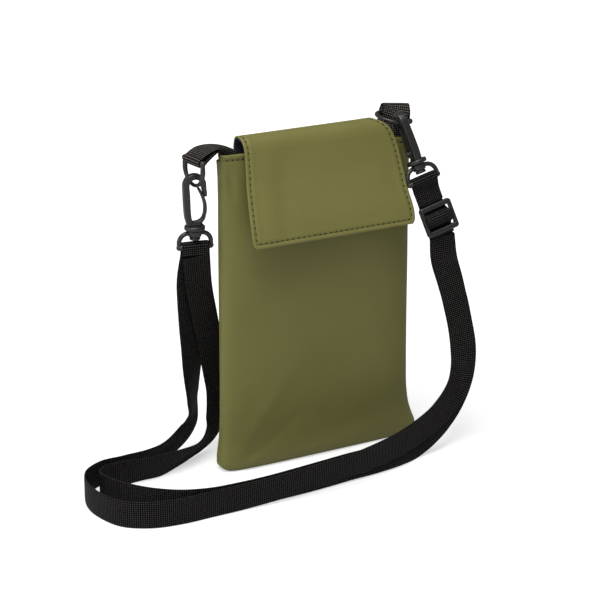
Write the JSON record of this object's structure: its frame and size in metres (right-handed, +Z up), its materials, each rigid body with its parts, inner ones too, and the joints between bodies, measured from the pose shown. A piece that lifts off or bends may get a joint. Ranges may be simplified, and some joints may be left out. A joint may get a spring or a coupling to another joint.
{
  "type": "phone pouch",
  "caption": "Flat crossbody phone pouch: stitched shell with a fold-over magnetic flap, corner rings, swivel snap hooks and a long webbing strap with a slider.",
  "frame": {"origin": "centre of the pouch's base, on the floor it stands on", "axes": "+X to the right seen from the front, +Y towards the back, +Z up; the flap's front and the near strap face -Y"},
  "size_m": [0.2459, 0.1007, 0.2025],
  "materials": {
    "pu_olive": "matte coated",
    "navy_lining": "plain weave",
    "webbing": "ribbed",
    "clip_plastic": "fine satin",
    "magnet_plate": "plain"
  },
  "bodies": {
    "pouch": {"front_panel": "pu_olive", "back_panel": "pu_olive", "front_lining": "navy_lining", "back_lining": "navy_lining", "mouth_facing": "pu_olive", "front_magnet": "magnet_plate", "left_tab": "webbing", "right_tab": "webbing", "slider": "clip_plastic", "slider_fold": "webbing", "left_strap_fold": "webbing", "right_strap_fold": "webbing", "strap_near_run": "webbing", "strap_far_run": "webbing"},
    "flap_top": {"flap_bridge": "pu_olive", "flap_bridge_lining": "navy_lining"},
    "flap_front": {"flap_drop": "pu_olive", "flap_drop_lining": "navy_lining", "flap_magnet": "magnet_plate"},
    "left_ring": {"left_ring": "clip_plastic"},
    "left_eye": {"left_eye": "clip_plastic"},
    "left_hook": {"left_hook": "clip_plastic"},
    "left_gate": {"left_gate": "clip_plastic"},
    "right_ring": {"right_ring": "clip_plastic"},
    "right_eye": {"right_eye": "clip_plastic"},
    "right_hook": {"right_hook": "clip_plastic"},
    "right_gate": {"right_gate": "clip_plastic"}
  },
  "joints": [
    {"name": "flap_open", "type": "hinge", "parent": "pouch", "child": "flap_top", "pos_m": [0, 0.00759, 0.185], "axis": [-1, 0, 0], "range_deg": [0, 160]},
    {"name": "flap_lift", "type": "hinge", "parent": "flap_top", "child": "flap_front", "pos_m": [0, -0.00501, 0.19405], "axis": [-1, 0, 0], "range_deg": [0, 80]},
    {"name": "left_ring_tilt", "type": "hinge", "parent": "pouch", "child": "left_ring", "pos_m": [-0.07709, 0.001, 0.1875], "axis": [0.1, -0.995, 0], "range_deg": [-2, 2]},
    {"name": "left_eye_tilt", "type": "hinge", "parent": "pouch", "child": "left_eye", "pos_m": [-0.07709, 0.00125, 0.13802], "axis": [0.9818, -0.19, 0], "range_deg": [-1.5, 1.5]},
    {"name": "left_swivel", "type": "hinge", "parent": "left_eye", "child": "left_hook", "pos_m": [-0.07709, 0.00125, 0.13802], "axis": [0, 0, 1], "range_deg": [-5, 8]},
    {"name": "left_gate_push", "type": "hinge", "parent": "left_hook", "child": "left_gate", "pos_m": [-0.07257, 0.00038, 0.15658], "axis": [-0.19, -0.9818, 0], "range_deg": [0, 17], "stiffness_Nm_per_rad": 0.02},
    {"name": "right_ring_tilt", "type": "hinge", "parent": "pouch", "child": "right_ring", "pos_m": [0.0564, 0.0062, 0.1948], "axis": [0.5105, -0.8408, -0.1802], "range_deg": [-1, 1]},
    {"name": "right_eye_tilt", "type": "hinge", "parent": "pouch", "child": "right_eye", "pos_m": [0.06068, -0.01825, 0.16233], "axis": [0.9557, -0.0901, 0.2802], "range_deg": [-1.5, 1]},
    {"name": "right_swivel", "type": "hinge", "parent": "right_eye", "child": "right_hook", "pos_m": [0.06068, -0.01825, 0.16233], "axis": [-0.2318, 0.3564, 0.9051], "range_deg": [-4, 4]},
    {"name": "right_gate_push", "type": "hinge", "parent": "right_hook", "child": "right_gate", "pos_m": [0.05706, -0.00734, 0.17762], "axis": [0.9615, -0.0576, 0.2689], "range_deg": [0, 17], "stiffness_Nm_per_rad": 0.02}
  ]
}
